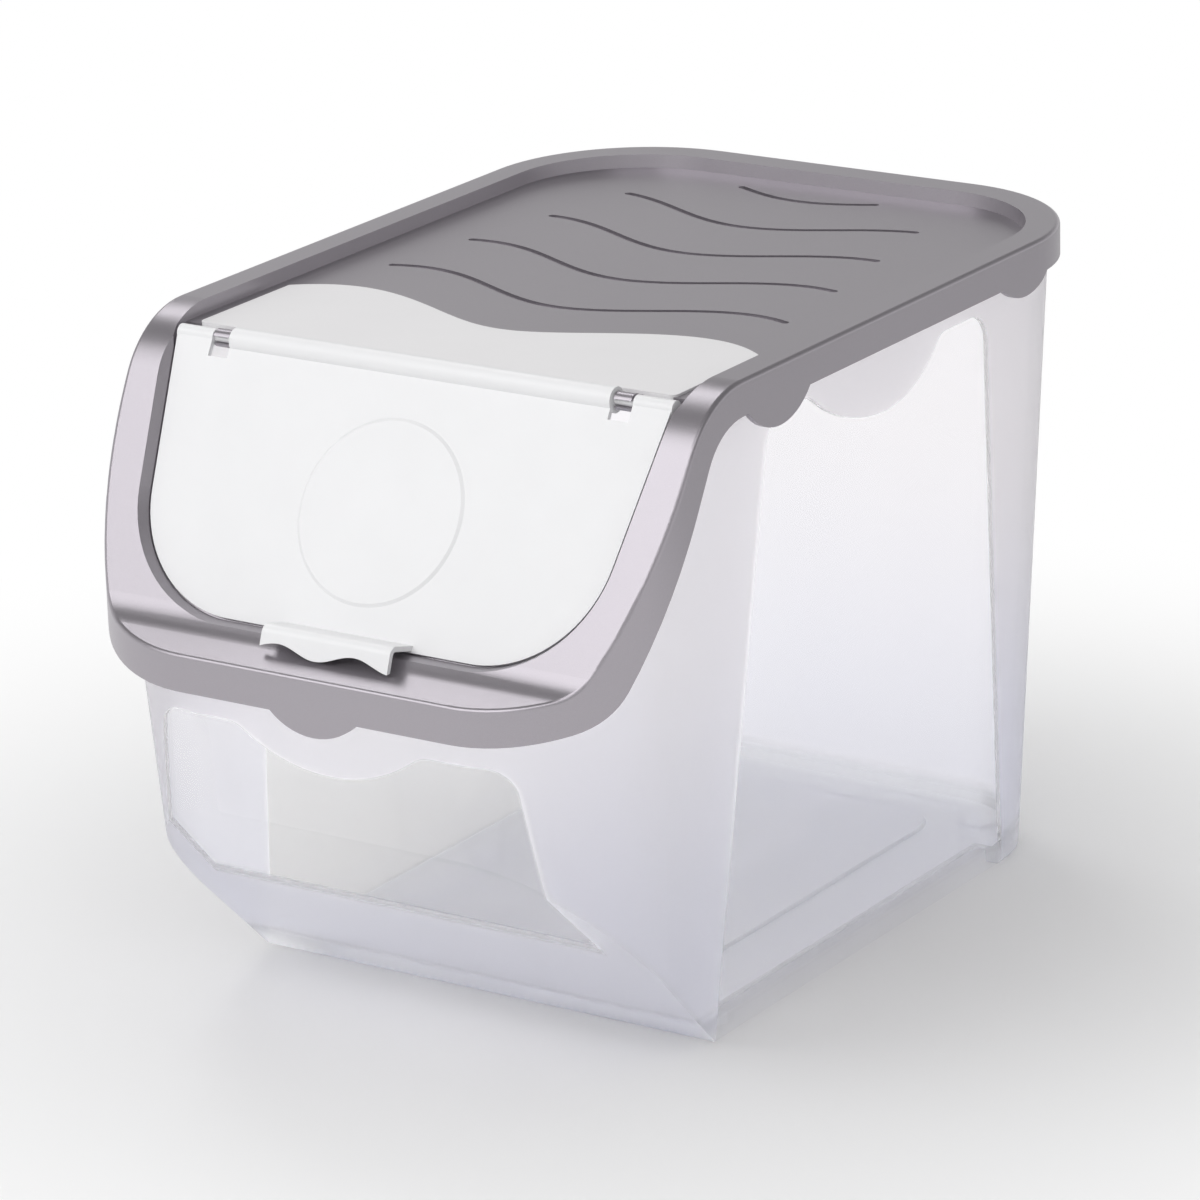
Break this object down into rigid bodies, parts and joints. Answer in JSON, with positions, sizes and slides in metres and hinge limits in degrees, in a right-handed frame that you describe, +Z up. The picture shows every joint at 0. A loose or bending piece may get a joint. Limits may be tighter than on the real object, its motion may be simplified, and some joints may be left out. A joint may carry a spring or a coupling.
{
  "type": "stackable storage box with flip lid",
  "caption": "Translucent stackable storage box with a grey lift-off cover, a sloping front mouth and a white hinged flip lid with a grip lip.",
  "frame": {"origin": "centre of the footprint on the floor, at the middle of the cover's width and length", "axes": "+X to the right as seen from the front, -Y towards the front with the flap, +Z up"},
  "size_m": [0.282, 0.424, 0.295],
  "materials": {
    "bin_plastic": "translucent frosted polypropylene with clearer polished windows",
    "cover_plastic": "silver-grey metallic satin plastic",
    "lid_plastic": "white satin plastic"
  },
  "bodies": {
    "bin": {"bin": "bin_plastic"},
    "cover": {"cover": "cover_plastic", "hinge_plate": "lid_plastic"},
    "flap": {"flap": "lid_plastic"}
  },
  "joints": [
    {"name": "cover_lift", "type": "slide", "parent": "bin", "child": "cover", "axis": [0, 0, 1], "range_m": [0, 0.15]},
    {"name": "flap_hinge", "type": "hinge", "parent": "cover", "child": "flap", "pos_m": [0, -0.125, 0.2865], "axis": [-1, 0, 0], "range_deg": [0, 175]}
  ]
}
